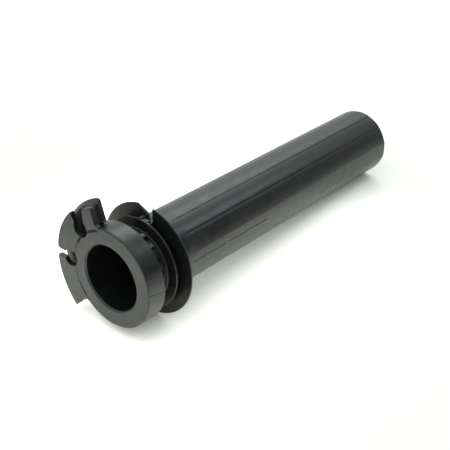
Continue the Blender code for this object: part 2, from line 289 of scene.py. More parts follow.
def round_corners(corners):
    """Turn a closed outline of (u, v, radius) corners into points with arcs."""
    points = []
    for i, (u, v, radius) in enumerate(corners):
        here = Vector((u, v))
        to_last = (Vector(corners[i - 1][:2]) - here).normalized()
        to_next = (Vector(corners[(i + 1) % len(corners)][:2]) - here).normalized()
        half = to_last.angle(to_next) / 2
        if radius == 0.0 or math.pi / 2 - half < math.radians(1.0):
            points.append((u, v))
            continue
        back = radius / math.tan(half)
        start = here + to_last * back
        end = here + to_next * back
        centre = here + (to_last + to_next).normalized() * (radius / math.sin(half))
        first = start - centre
        turn = first.angle_signed(end - centre)
        steps = max(2, round(abs(math.degrees(turn)) / ARC_STEP_DEG))
        for step in range(steps + 1):
            arm = first.copy()
            arm.rotate(Matrix.Rotation(-turn * step / steps, 2))
            points.append(tuple(centre + arm))
    return points


def offset_outline(points, distance):
    """Move each point of a closed outline inwards, square to its neighbours."""
    area = 0.0
    for (ax, ay), (bx, by) in zip(points, points[1:] + points[:1]):
        area += ax * by - bx * ay
    side = 1.0 if area > 0 else -1.0
    moved = []
    for i, point in enumerate(points):
        before = Vector(point) - Vector(points[i - 1])
        after = Vector(points[(i + 1) % len(points)]) - Vector(point)
        along = (before.normalized() + after.normalized()).normalized()
        inwards = Vector((-along.y, along.x)) * side
        moved.append(tuple(Vector(point) + inwards * distance))
    return moved


square = [(0.0, 0.0, 1.0), (4.0, 0.0, 1.0), (4.0, 4.0, 1.0), (0.0, 4.0, 1.0)]
print("a square with rounded corners has", len(round_corners(square)), "points")

# %% [markdown]
# ## The turned sleeve
#
# Bore, collar, neck, guide disc, grip flange and barrel share one axis, so they are one
# profile swept round it, like a turned part. Blender's Screw modifier or a lathe in
# Geometry Nodes would sweep it evenly. This sweep is made by hand instead, because the
# points round the barrel have to crowd together at each crease and at the mould line,
# where the surface dips.

# %% Sizes along the tube and across it
TUBE_LENGTH = cad_high.x - cad_low.x
BORE_RADIUS = 11.2 * MM
MOUTH_CHAMFER = 0.58 * MM
NECK_RADIUS = 12.6 * MM
ROOT_RADIUS = 12.9 * MM
TIP_RADIUS = 12.75 * MM
COLLAR_RADIUS = 16.95 * MM
COLLAR_END = 7.1 * MM
CORE_TOP = 15.05 * MM
CORE_FLOOR = 4.8 * MM
DISC_RADIUS = 15.85 * MM
DISC_START = 13.3 * MM
DISC_END = 14.1 * MM
DISC_DRAFT = 0.45 * MM
COLLAR_EDGE = 0.45 * MM
FLANGE_RADIUS = -cad_low.z
FLANGE_START = 16.3 * MM
FLANGE_RIM = 0.45 * MM
FLANGE_END = 17.6 * MM
SHOULDER_END = 25.3 * MM
ROOT_FILLET = 0.7 * MM
DISC_FILLET = 0.4 * MM
SMALL_FILLET = 0.3 * MM
EDGE = 0.2 * MM
FINE_EDGE = 0.12 * MM
TIP_ROUNDING = 0.5 * MM
BARREL_STEP = 1.25 * MM
COLLAR_STEP = 0.5 * MM
LONG_RUN = 50.0 * MM
SHORT_RUN = 5.0 * MM

# %% Where the barrel's creases and the mould line run
CREASES = (
    # degrees round the barrel, share of the full crease depth, width of the far wall
    (17.1, 0.6, 1.0 * MM), (47.6, 0.8, 1.0 * MM), (78.0, 0.9, 1.0 * MM),
    (107.9, 1.1, 6.0 * MM), (134.5, 0.8, 1.0 * MM), (165.2, 0.05, 1.0 * MM),
    (194.5, 0.45, 1.0 * MM), (224.9, 0.6, 1.0 * MM), (255.4, 0.8, 1.0 * MM),
    (285.8, 0.9, 6.0 * MM), (316.3, 0.8, 1.0 * MM), (346.7, 0.05, 1.0 * MM),
)
CREASES_DEG = tuple(degrees for degrees, share, width in CREASES)
FLAT_PANELS = (4, 5, 6, 7, 10, 11)
MOULD_LINE_DEG = 178.3
EVEN_STEP_DEG = 2.5
CREASE_STEPS_DEG = (
    -3.2, -2.5, -1.9, -1.35, -0.85, -0.4, 0.0, 0.4, 0.85, 1.35, 2.0, 2.8, 3.6, 4.4)
MOULD_LINE_STEPS_DEG = (
    -3.5, -3.15, -2.8, -2.45, -2.1, -1.75, -1.4, -1.1, -0.7, -0.45, -0.2, 0.0, 0.2, 0.45,
    0.7, 1.1, 1.6)


def column_angles():
    """Angles of the sleeve's points: even, and close together at each fine line."""
    fine = []
    for crease in CREASES_DEG:
        fine += [crease + step for step in CREASE_STEPS_DEG]
    fine += [MOULD_LINE_DEG + step for step in MOULD_LINE_STEPS_DEG]
    angles = list(fine)
    for step in range(int(360.0 / EVEN_STEP_DEG)):
        even = step * EVEN_STEP_DEG
        gaps = [abs((even - angle + 180.0) % 360.0 - 180.0) for angle in fine]
        if min(gaps) > EVEN_STEP_DEG / 3:
            angles.append(even)
    return sorted(angles)


COLUMNS = column_angles()
print(len(COLUMNS), "columns of points round the sleeve")

# %% The sleeve's profile, swept round the axis
def sleeve_profile():
    """Closed outline (x, r) of the sleeve's wall, corner by corner."""
    mouth = BORE_RADIUS + MOUTH_CHAMFER
    corners = [
        (0.0, mouth, FINE_EDGE),
        (0.0, COLLAR_RADIUS, COLLAR_EDGE),
        (COLLAR_END, COLLAR_RADIUS, EDGE),
        (COLLAR_END, CORE_TOP, FINE_EDGE),
        (CORE_FLOOR, CORE_TOP, SMALL_FILLET),
        (CORE_FLOOR, NECK_RADIUS, SMALL_FILLET),
        (DISC_START - DISC_DRAFT, NECK_RADIUS, DISC_FILLET),
        (DISC_START, DISC_RADIUS, EDGE),
        (DISC_END, DISC_RADIUS, EDGE),
        (DISC_END, ROOT_RADIUS, SMALL_FILLET),
        (FLANGE_START, ROOT_RADIUS, SMALL_FILLET),
        (FLANGE_START, FLANGE_RADIUS, FINE_EDGE),
        (FLANGE_START + FLANGE_RIM, FLANGE_RADIUS, FINE_EDGE),
        (FLANGE_END, ROOT_RADIUS, ROOT_FILLET),
        (TUBE_LENGTH, TIP_RADIUS, TIP_ROUNDING),
        (TUBE_LENGTH, mouth, FINE_EDGE),
        (TUBE_LENGTH - MOUTH_CHAMFER, BORE_RADIUS, EDGE),
        (MOUTH_CHAMFER, BORE_RADIUS, EDGE),
    ]
    return round_corners(corners)


def split_barrel(profile):
    """Add points along the barrel and the collar, so that both can dip in places."""
    points = []
    for (x, r), (next_x, next_r) in zip(profile, profile[1:] + profile[:1]):
        points.append((x, r))
        on_barrel = r > BORE_RADIUS + FINE_EDGE and next_x - x > LONG_RUN
        on_collar = r > COLLAR_RADIUS - FINE_EDGE and next_x - x > SHORT_RUN
        if on_barrel or on_collar:
            steps = round((next_x - x) / (BARREL_STEP if on_barrel else COLLAR_STEP))
            for step in range(1, steps):
                share = step / steps
                points.append((x + share * (next_x - x), r + share * (next_r - r)))
    return points


def sweep(name, profile, angles):
    """Sweep a closed (x, r) outline round the tube's axis."""
    bm = bmesh.new()
    columns = []
    for angle in angles:
        rays = [polar(r, angle) for x, r in profile]
        columns.append([bm.verts.new((x, y, z)) for (x, r), (y, z) in zip(profile, rays)])
    for first, second in zip(columns, columns[1:] + columns[:1]):
        for i in range(len(profile)):
            j = (i + 1) % len(profile)
            bm.faces.new((first[i], first[j], second[j], second[i]))
    return object_from_bmesh(name, bm)


sleeve = sweep("moulded_throttle_tube", split_barrel(sleeve_profile()), COLUMNS)
report(sleeve)

# %% [markdown]
# ## Creases and the mould line
#
# The barrel is made of twelve long panels that meet in fine creases, not quite evenly
# spaced, which start behind a plain shoulder and fade towards the tip. The panels on the
# flanks are a little flatter than the rest. On the housing side a witness line shows
# where the two mould halves met, ending in the small mark of the gate. All of this
# follows a rule of angle and distance, so a Geometry Nodes tree sinks the swept points
# by that rule, and each size stays an input that can be changed.

# %% A tree that others can set by name
def geometry_tree(name, sizes):
    """A Geometry Nodes group with a geometry input and named number inputs."""
    tree = bpy.data.node_groups.new(name, "GeometryNodeTree")
    tree.interface.new_socket("Geometry", in_out="INPUT", socket_type="NodeSocketGeometry")
    tree.interface.new_socket("Geometry", in_out="OUTPUT", socket_type="NodeSocketGeometry")
    for label, value in sizes.items():
        kind = "NodeSocketInt" if isinstance(value, int) else "NodeSocketFloat"
        tree.interface.new_socket(label, in_out="INPUT", socket_type=kind)
    return tree, add_node(tree, "NodeGroupInput").outputs


def run_tree(made, tree, sizes):
    """Run a tree on an object with these sizes, and keep the result as a plain mesh."""
    modifier = made.modifiers.new(tree.name, "NODES")
    modifier.node_group = tree
    for item in tree.interface.items_tree:
        if item.in_out == "INPUT" and item.name in sizes:
            modifier[item.identifier] = sizes[item.name]
    return plain_mesh(made)


def finish_tree(tree, geometry):
    """End a tree in Realize Instances and Set Material."""
    real = add_node(tree, "GeometryNodeRealizeInstances", {"Geometry": geometry})
    dressed = add_node(tree, "GeometryNodeSetMaterial", {
        "Geometry": real.outputs["Geometry"], "Material": nylon})
    add_node(tree, "NodeGroupOutput", {"Geometry": dressed.outputs["Geometry"]})


# %% Sink the creases, the mould line and the gate mark
COLLAR_LINE_FROM = 0.3 * MM
COLLAR_LINE_TO = COLLAR_END - 0.6 * MM
BARREL_SIZES = {
    "Crease Depth": 0.17 * MM,
    "Near Wall Width": 0.55 * MM,
    "Flat Depth": 0.15 * MM,
    "Crease Start": SHOULDER_END,
    "Run In": 0.8 * MM,
    "Tip": TUBE_LENGTH,
    "Depth At Tip": 0.7,
    "Inside": (BORE_RADIUS + TIP_RADIUS) / 2,
    "Line Angle": math.radians(MOULD_LINE_DEG),
    "Line Depth": 0.26 * MM,
    "Line Half Width": 0.2 * MM,
    "Line Start": SHOULDER_END,
    "Line End": 61.0 * MM,
    "Line Gap": 41.2 * MM,
    "Gap Half Length": 1.6 * MM,
    "Gate": 62.3 * MM,
    "Gate Half Length": 1.3 * MM,
    "Gate Half Width": 0.34 * MM,
    "Gate Depth": 0.2 * MM,
    "Line Unevenness": 3.0 * MM,
    "Collar Line Depth": 0.1 * MM,
    "Collar Line Start": math.radians(175.7),
    "Collar Line End": math.radians(178.9),
}


def barrel_tree():
    tree, size = geometry_tree("barrel_lines", BARREL_SIZES)
    place = add_node(tree, "GeometryNodeInputPosition").outputs["Position"]
    parts = add_node(tree, "ShaderNodeSeparateXYZ", {"Vector": place}).outputs
    outwards = add_node(tree, "ShaderNodeCombineXYZ", {
        "Y": parts["Y"], "Z": parts["Z"]}).outputs[0]
    radius = add_node(tree, "ShaderNodeVectorMath", {0: outwards},
                      operation="LENGTH").outputs["Value"]
    angle = calculate(tree, "ARCTAN2", parts["Z"], parts["Y"])

    def turned_from(target):
        """The angle from a target to the point, from half a turn back to half forward."""
        turn = calculate(tree, "SUBTRACT", angle, target)
        return calculate(tree, "WRAP", turn, math.pi, -math.pi)

    def distance_round(target):
        """The distance round the surface to a line at this angle."""
        turn = calculate(tree, "MULTIPLY", turned_from(target), radius)
        return calculate(tree, "ABSOLUTE", turn)

    # Creases: a steep near wall and a gentler far wall, each with its share of the depth
    near_slope = calculate(tree, "DIVIDE", -1.0, size["Near Wall Width"])
    crease = 0.0
    for crease_deg, share, far_width in CREASES:
        turn = turned_from(math.radians(crease_deg))
        near = calculate(tree, "MULTIPLY", turn, near_slope)
        far = calculate(tree, "MULTIPLY", turn, 1.0 / far_width)
        away = calculate(tree, "MULTIPLY", calculate(tree, "MAXIMUM", near, far), radius)
        dip = remap(tree, away, 1.0, 0.0, high=share)
        crease = calculate(tree, "MAXIMUM", dip, crease)
    # Flatter panels: deepest along their middle, nothing at their two creases
    flat = 0.0
    for panel in FLAT_PANELS:
        start = CREASES_DEG[panel]
        width = (CREASES_DEG[(panel + 1) % len(CREASES_DEG)] - start) % 360.0
        turn = turned_from(math.radians(start + width / 2))
        share = calculate(tree, "DIVIDE", turn, math.radians(width / 2))
        square = calculate(tree, "MULTIPLY", share, share)
        flat = calculate(tree, "MAXIMUM", calculate(tree, "SUBTRACT", 1.0, square), flat)
    full_depth_at = calculate(tree, "ADD", size["Crease Start"], size["Run In"])
    run_in = remap(tree, parts["X"], size["Crease Start"], full_depth_at)
    fade = remap(tree, parts["X"], size["Crease Start"], size["Tip"], 1.0,
                 size["Depth At Tip"], easing="LINEAR")
    for factor in (run_in, fade, size["Crease Depth"]):
        crease = calculate(tree, "MULTIPLY", crease, factor)
    for factor in (run_in, size["Flat Depth"]):
        flat = calculate(tree, "MULTIPLY", flat, factor)
    # Mould line: its ends, a gap on the way and an uneven depth
    beside = distance_round(size["Line Angle"])
    line = remap(tree, beside, size["Line Half Width"], 0.0)
    after_start = calculate(tree, "GREATER_THAN", parts["X"], size["Line Start"])
    before_end = calculate(tree, "LESS_THAN", parts["X"], size["Line End"])
    from_gap = calculate(tree, "SUBTRACT", parts["X"], size["Line Gap"])
    from_gap = calculate(tree, "ABSOLUTE", from_gap)
    clear_of_gap = calculate(tree, "GREATER_THAN", from_gap, size["Gap Half Length"])
    uneven = add_node(tree, "ShaderNodeTexNoise", {
        "W": calculate(tree, "DIVIDE", parts["X"], size["Line Unevenness"]),
        "Scale": 1.0, "Detail": 2.0}, noise_dimensions="1D").outputs["Fac"]
    uneven = remap(tree, uneven, 0.3, 0.6, low=0.65, easing="LINEAR")
    for factor in (after_start, before_end, clear_of_gap, uneven, size["Line Depth"]):
        line = calculate(tree, "MULTIPLY", line, factor)
    # Gate mark: a shallow oval dimple at the end of the line
    from_gate = calculate(tree, "SUBTRACT", parts["X"], size["Gate"])
    along = calculate(tree, "DIVIDE", from_gate, size["Gate Half Length"])
    across = calculate(tree, "DIVIDE", beside, size["Gate Half Width"])
    from_middle = add_node(tree, "ShaderNodeCombineXYZ", {"X": along, "Y": across})
    oval = add_node(tree, "ShaderNodeVectorMath", {0: from_middle.outputs[0]},
                    operation="LENGTH").outputs["Value"]
    gate = remap(tree, oval, 1.0, 0.3, high=size["Gate Depth"])
    # On the collar the mould line wanders a little round as it runs
    wandering = remap(tree, parts["X"], COLLAR_LINE_FROM, COLLAR_LINE_TO,
                      size["Collar Line Start"], size["Collar Line End"], easing="LINEAR")
    collar_line = remap(tree, distance_round(wandering), size["Line Half Width"], 0.0,
                        high=size["Collar Line Depth"])
    on_collar = calculate(tree, "LESS_THAN", parts["X"], COLLAR_END + EDGE)
    collar_line = calculate(tree, "MULTIPLY", collar_line, on_collar)
    # Sink the deepest of them, on the outer surface only, and the flatter panels with it
    depth = crease
    for mark in (line, gate, collar_line):
        depth = calculate(tree, "MAXIMUM", depth, mark)
    depth = calculate(tree, "ADD", depth, flat)
    outside = calculate(tree, "GREATER_THAN", radius, size["Inside"])
    sink = calculate(tree, "MULTIPLY", depth, outside)
    sink = calculate(tree, "MULTIPLY", sink, -1.0)
    away = add_node(tree, "ShaderNodeVectorMath", {0: outwards}, operation="NORMALIZE")
    shift = add_node(tree, "ShaderNodeVectorMath", {0: away.outputs[0], "Scale": sink},
                     operation="SCALE").outputs[0]
    moved = add_node(tree, "GeometryNodeSetPosition", {
        "Geometry": size["Geometry"], "Offset": shift}).outputs["Geometry"]
    finish_tree(tree, moved)
    return tree


run_tree(sleeve, barrel_tree(), BARREL_SIZES)
report(sleeve)

# %% [markdown]
# ## Gusset ribs
#
# Eighteen thin ribs run from the collar's hollow back down to the neck and stiffen it.
# They repeat at even angles, which is just what instancing is for: the tree draws one rib
# as a filled outline, gives it its thickness, sets one on each turn and makes them real.
# Sixteen ribs slope straight down, and two below the slot stay level first, so the same
# tree runs twice with other numbers. A Bevel modifier then rounds their edges.

# %% Gusset ribs
MERGE_DISTANCE = 0.001 * MM
BEVEL_LIMIT_DEG = 35.0
GUSSET_SIZES = {
    "Count": 16,
    "First Angle": math.radians(147.0),
    "Pitch": math.radians(20.0),
    "Width": 1.5 * MM,
    "Front": CORE_FLOOR - 0.2 * MM,
    "Brow": COLLAR_END + 0.5 * MM,
    "Toe": DISC_START - DISC_DRAFT - 0.5 * MM,
    "Low": NECK_RADIUS - 0.2 * MM,
    "High": CORE_TOP + 0.5 * MM,
    "Brow Height": CORE_TOP,
    "Rounding": 0.4 * MM,
}
LEVEL_GUSSET_SIZES = {
    **GUSSET_SIZES,
    "Count": 2,
    "First Angle": math.radians(111.0),
    "Pitch": math.radians(16.0),
    "Brow": 9.9 * MM,
    "Brow Height": CORE_TOP + 0.2 * MM,
}


def gusset_tree():
    tree, size = geometry_tree("gusset_ring", GUSSET_SIZES)
    corners = [("Front", "Low"), ("Front", "High"), ("Brow", "Brow Height"), ("Toe", "Low")]
    points = {}
    for number, (along, out) in enumerate(corners, start=1):
        point = add_node(tree, "ShaderNodeCombineXYZ", {"X": size[along], "Y": size[out]})
        points["Point %d" % number] = point.outputs[0]
    outline = add_node(tree, "GeometryNodeCurvePrimitiveQuadrilateral", mode="POINTS")
    for label, output in points.items():
        tree.links.new(output, outline.inputs[label])
    eased = add_node(tree, "GeometryNodeFilletCurve", {
        "Curve": outline.outputs["Curve"], "Radius": size["Rounding"], "Count": 4}, mode="POLY")
    flank = add_node(tree, "GeometryNodeFillCurve", {"Curve": eased.outputs["Curve"]},
                     mode="NGONS")
    thickness = add_node(tree, "ShaderNodeCombineXYZ", {"Z": size["Width"]}).outputs[0]
    pushed = add_node(tree, "GeometryNodeExtrudeMesh", {
        "Mesh": flank.outputs["Mesh"], "Offset": thickness, "Offset Scale": 1.0,
        "Individual": False})
    other_flank = add_node(tree, "GeometryNodeFlipFaces", {"Mesh": flank.outputs["Mesh"]})
    both = add_node(tree, "GeometryNodeJoinGeometry")
    tree.links.new(pushed.outputs["Mesh"], both.inputs["Geometry"])
    tree.links.new(other_flank.outputs["Mesh"], both.inputs["Geometry"])
    closed = add_node(tree, "GeometryNodeMergeByDistance", {
        "Geometry": both.outputs["Geometry"], "Distance": MERGE_DISTANCE})
    half = add_node(tree, "ShaderNodeVectorMath", {0: thickness, "Scale": -0.5},
                    operation="SCALE")
    centred = add_node(tree, "GeometryNodeTransform", {
        "Geometry": closed.outputs["Geometry"], "Translation": half.outputs[0]})
    seats = add_node(tree, "GeometryNodePoints", {"Count": size["Count"]})
    index = add_node(tree, "GeometryNodeInputIndex").outputs["Index"]
    turn = calculate(tree, "MULTIPLY_ADD", index, size["Pitch"], size["First Angle"])
    turned = add_node(tree, "ShaderNodeCombineXYZ", {"X": turn})
    ribs = add_node(tree, "GeometryNodeInstanceOnPoints", {
        "Points": seats.outputs["Points"], "Instance": centred.outputs["Geometry"],
        "Rotation": turned.outputs[0]})
    finish_tree(tree, ribs.outputs["Instances"])
    return tree


gusset_ring = gusset_tree()
gussets = run_tree(object_from_bmesh("gussets", bmesh.new()), gusset_ring, GUSSET_SIZES)
level_gussets = run_tree(object_from_bmesh("level_gussets", bmesh.new()), gusset_ring,
                         LEVEL_GUSSET_SIZES)


def bevel(made, width):
    """Round a piece's edges, and keep the result as a plain mesh."""
    modifier = made.modifiers.new("edges", "BEVEL")
    modifier.width = width
    modifier.segments = 2
    modifier.angle_limit = math.radians(BEVEL_LIMIT_DEG)
    return plain_mesh(made)


for made in (gussets, level_gussets):
    bevel(made, EDGE)
    report(made)

# %% [markdown]
# ## Cable quadrant
#
# Two plates stand out from the collar with a groove between them, in which the cables
# wind up. Each plate is flat, so it is drawn as an outline and given its thickness. The
# outline's rim is two arcs with a small radius at each corner and a fillet where it runs
# into the collar. Repeating the outline a little smaller makes the rounded edges, and a
# wide step of the same kind makes the rear plate's bevel.

# %% Quadrant plates
QUADRANT_LOW_DEG = -47.0
QUADRANT_HIGH_DEG = 70.0
TONGUE_START_DEG = 50.0
FRONT_PLATE_RADIUS = 24.35 * MM
TONGUE_RADIUS = 23.5 * MM
FRONT_PLATE_THICKNESS = 1.65 * MM
REAR_PLATE_START = 3.35 * MM
REAR_PLATE_END = 4.95 * MM
REAR_PLATE_RADIUS = cad_high.y
REAR_PLATE_BEVEL = 1.15 * MM
BEVEL_SOFTENING = 0.15 * MM
QUADRANT_CORNER = 0.6 * MM
REAR_HIGH_CORNER = 0.9 * MM
QUADRANT_FILLET = 1.6 * MM
RIM_STEP_DEG = 1.5
ROUNDING_STEPS = 3
EMBED = 1.5 * MM


def plate_corner(radius, degrees, side, rounding):
    """Centre of a plate's rounded corner, and the angle at which the rim meets it."""
    reach = radius - rounding
    lean = degrees + side * math.degrees(math.asin(rounding / reach))
    return polar(reach, lean), lean


def plate_outline(rim_radius, tongue_radius, high_rounding=QUADRANT_CORNER):
    """Outline (y, z) of a quadrant plate, filleted onto the collar at both ends."""
    axis = (0.0, 0.0)
    low, high = QUADRANT_LOW_DEG, QUADRANT_HIGH_DEG
    reach = COLLAR_RADIUS + QUADRANT_FILLET
    swing = math.degrees(math.asin(QUADRANT_FILLET / reach))
    low_corner, low_lean = plate_corner(rim_radius, low, 1.0, QUADRANT_CORNER)
    high_corner, high_lean = plate_corner(tongue_radius, high, -1.0, high_rounding)
    points = arc(low_corner, QUADRANT_CORNER, low - 90.0, low_lean)
    points += arc(axis, rim_radius, low_lean, TONGUE_START_DEG, RIM_STEP_DEG)[1:]
    points += arc(axis, tongue_radius, TONGUE_START_DEG, high_lean, RIM_STEP_DEG)
    points += arc(high_corner, high_rounding, high_lean, high + 90.0)[1:]
    upper, lower = high + swing, low - swing
    points += arc(polar(reach, upper), QUADRANT_FILLET, high - 90.0, upper - 180.0)
    points += arc(axis, COLLAR_RADIUS - EMBED, upper, lower, RIM_STEP_DEG)
    points += arc(polar(reach, lower), QUADRANT_FILLET, lower + 180.0, low + 90.0)
    return points


def loft(name, sections):
    """Skin a row of equal-length outlines; each section is (x, [(y, z), ...])."""
    bm = bmesh.new()
    loops = []
    for x, outline in sections:
        loops.append([bm.verts.new((x, y, z)) for y, z in outline])
    for first, second in zip(loops, loops[1:]):
        for i in range(len(first)):
            j = (i + 1) % len(first)
            bm.faces.new((first[i], first[j], second[j], second[i]))
    bm.faces.new(loops[0])
    bm.faces.new(loops[-1])
    return object_from_bmesh(name, bm)


def rounded_slab(name, outline, x_start, x_end, rounding):
    """A flat plate with this outline, its edges rounded on both faces."""
    sections = []
    for face, side in ((x_start, 1.0), (x_end, -1.0)):
        rows = []
        for step in range(ROUNDING_STEPS + 1):
            angle = math.radians(90.0 * step / ROUNDING_STEPS)
            inset = rounding * (1.0 - math.sin(angle))
            rows.append((face + side * rounding * (1.0 - math.cos(angle)),
                         offset_outline(outline, inset)))
        sections += rows if side > 0 else reversed(rows)
    return loft(name, sections)


front_plate = rounded_slab("front_plate", plate_outline(FRONT_PLATE_RADIUS, TONGUE_RADIUS),
                           0.0, FRONT_PLATE_THICKNESS, EDGE)
report(front_plate)


def make_rear_plate():
    """The rear plate, whose front edge has a broad bevel with softened ends."""
    rim = REAR_PLATE_RADIUS
    bevelled = REAR_PLATE_START + REAR_PLATE_BEVEL
    soft = BEVEL_SOFTENING
    insets = [
        (REAR_PLATE_START, REAR_PLATE_BEVEL + soft),
        (REAR_PLATE_START + 0.3 * soft, REAR_PLATE_BEVEL),
        (bevelled - 0.7 * soft, 0.7 * soft),
        (bevelled, 0.2 * soft),
        (bevelled + soft, 0.0),
        (REAR_PLATE_END - EDGE, 0.0),
        (REAR_PLATE_END - 0.3 * EDGE, 0.3 * EDGE),
        (REAR_PLATE_END, EDGE),
    ]
    sections = []
    for x, inset in insets:
        radius = rim - inset
        sections.append((x, plate_outline(radius, radius, REAR_HIGH_CORNER)))
    return loft("rear_plate", sections)


rear_plate = make_rear_plate()
report(rear_plate)

# %% [markdown]
# ## Stop rib and slot floor
#
# Beside the slot a short rib bridges the guide disc and the flange, so that the disc
# can't bend. Next to it the slot has a raised floor with a ledge behind the disc. All
# three are small blocks whose top edges are rounded.

# %% Stop rib and slot floor
SLOT_RIGHT = -2.45 * MM
SLOT_LEFT = -0.85 * MM
SLOT_SHOULDER = 16.6 * MM
SLOT_RAMP_SLOPE = 0.51
SLOT_FLOOR_TOP = 14.4 * MM
SLOT_LEDGE_TOP = 15.7 * MM
SLOT_LEDGE_END = 15.2 * MM
STOP_RIB_RIGHT = -0.05 * MM
STOP_RIB_LEFT = 1.05 * MM
STOP_RIB_TOP = 16.2 * MM
BITE = 0.3 * MM


def block_on_neck(name, right, left, top, back):
    """A block that stands on the neck from the guide disc back, its top rounded."""
    low = ROOT_RADIUS - EDGE
    outline = round_corners([
        (right, low, 0.0), (left, low, 0.0), (left, top, EDGE), (right, top, EDGE)])
    return loft(name, [(DISC_START + BITE, outline), (back, outline)])


stop_rib = block_on_neck("stop_rib", STOP_RIB_RIGHT, STOP_RIB_LEFT, STOP_RIB_TOP,
                         FLANGE_START + BITE)
slot_floor = block_on_neck("slot_floor", SLOT_RIGHT - EDGE, STOP_RIB_LEFT - 2 * EDGE,
                           SLOT_FLOOR_TOP, FLANGE_END - BITE)
slot_ledge = block_on_neck("slot_ledge", SLOT_RIGHT - EDGE, STOP_RIB_RIGHT + EDGE,
                           SLOT_LEDGE_TOP, SLOT_LEDGE_END)
report(stop_rib)
report(slot_floor)
report(slot_ledge)

# %% [markdown]
# ## Cutters for the nipple seats and slots
#
# A cable ends in a small brass barrel, the nipple. Each nipple drops into a round blind
# seat in the front plate, and its cable leaves through a slit or a flared slot. These are
# cut out, as drills and mills would cut them in the tool. Each cutter is a little wider
# where it enters the face, which leaves the seat with a broken edge.

# %% Cutters
SEAT_RADIUS = 3.0 * MM
SEAT_PITCH_RADIUS = 18.2 * MM
SEAT_DEPTH = 3.6 * MM
SEAT_STEP_DEG = 6.0
LOWER_SEAT_DEG = 0.0
UPPER_SEAT_DEG = 45.0
SLIT_LOW = -1.25 * MM
SLIT_HIGH = 1.42 * MM
SLIT_LEAD_IN = 1.0 * MM
SLIT_FLARE = 0.5 * MM
SLIT_FLARE_DEPTH = 0.15 * MM
SLIT_LOW_ROUNDING = 0.3 * MM
SLIT_HIGH_ROUNDING = 0.5 * MM
GROOVE_MIDDLE = (FRONT_PLATE_THICKNESS + REAR_PLATE_START) / 2
SLOT_NECK = 4.4 * MM
SLOT_LEFT_DEG = 59.4
SLOT_RIGHT_DEG = 84.7
SLOT_LEAD_IN = 0.35 * MM
CLEAR = 2.0 * MM
BROKEN_EDGE = 0.16 * MM
SKIM = 0.02 * MM


def face_cutter(name, outline, depth):
    """A cutter from before the front face down to a depth, flared at the face."""
    wide = offset_outline(outline, -BROKEN_EDGE)
    sections = [(-CLEAR, wide), (0.0, wide)]
    for step in range(1, ROUNDING_STEPS + 1):
        angle = math.radians(90.0 * step / ROUNDING_STEPS)
        inset = BROKEN_EDGE * (1.0 - math.sin(angle))
        x = BROKEN_EDGE * (1.0 - math.cos(angle))
        sections.append((x, offset_outline(outline, -inset)))
    sections.append((depth, outline))
    return loft(name, sections)


def seat_cutter(name, degrees):
    centre = polar(SEAT_PITCH_RADIUS, degrees)
    outline = arc(centre, SEAT_RADIUS, 0.0, 360.0, SEAT_STEP_DEG)[:-1]
    return face_cutter(name, outline, SEAT_DEPTH)


def slit_cutter():
    """The lower cable's slit, straight, with a rounded lead-in on its upper side."""
    outer = FRONT_PLATE_RADIUS + CLEAR
    flare_start = FRONT_PLATE_RADIUS - SLIT_FLARE_DEPTH
    corners = [
        (SEAT_PITCH_RADIUS, SLIT_LOW, 0.0),
        (flare_start, SLIT_LOW, SLIT_LOW_ROUNDING),
        (flare_start + SLIT_FLARE, SLIT_LOW - SLIT_FLARE, 0.0),
        (outer, SLIT_LOW - SLIT_FLARE, 0.0),
        (outer, SLIT_HIGH + CLEAR, 0.0),
        (FRONT_PLATE_RADIUS - SLIT_LEAD_IN, SLIT_HIGH, SLIT_HIGH_ROUNDING),
        (SEAT_PITCH_RADIUS, SLIT_HIGH, 0.0),
    ]
    return face_cutter("slit_cutter", round_corners(corners), GROOVE_MIDDLE)


def slot_cutter():
    """The upper cable's slot, which opens out from the seat to the rim."""
    centre = Vector(polar(SEAT_PITCH_RADIUS, UPPER_SEAT_DEG))
    lean = (SLOT_LEFT_DEG + SLOT_RIGHT_DEG) / 2
    half = SLOT_NECK / 2
    ahead = Vector(polar(math.sqrt(SEAT_RADIUS ** 2 - half ** 2), lean))
    side = Vector(polar(half, lean - 90.0))
    left_way = Vector(polar(1.0, SLOT_LEFT_DEG))
    right_way = Vector(polar(1.0, SLOT_RIGHT_DEG))
    left = centre + ahead + side
    right = centre + ahead - side
    left_run = rim_distance(left, left_way, FRONT_PLATE_RADIUS)
    right_run = rim_distance(right, right_way, TONGUE_RADIUS)
    outwards = side.normalized()
    corners = [
        (*centre, 0.0),
        (*left, 0.0),
        (*(left + left_way * (left_run - SLOT_LEAD_IN)), SLOT_LEAD_IN),
        (*(left + left_way * (left_run + CLEAR) + outwards * (CLEAR + SLOT_LEAD_IN)), 0.0),
        (*(right + right_way * (right_run + CLEAR) - outwards * (CLEAR + SLOT_LEAD_IN)), 0.0),
        (*(right + right_way * (right_run - SLOT_LEAD_IN)), SLOT_LEAD_IN),
        (*right, 0.0),
    ]
    return face_cutter("slot_cutter", round_corners(corners), GROOVE_MIDDLE)


def rim_distance(start, way, radius):
    """How far from start a line in this direction meets a circle round the axis."""
    along = start.dot(way)
    return -along + math.sqrt(along ** 2 - start.length_squared + radius ** 2)


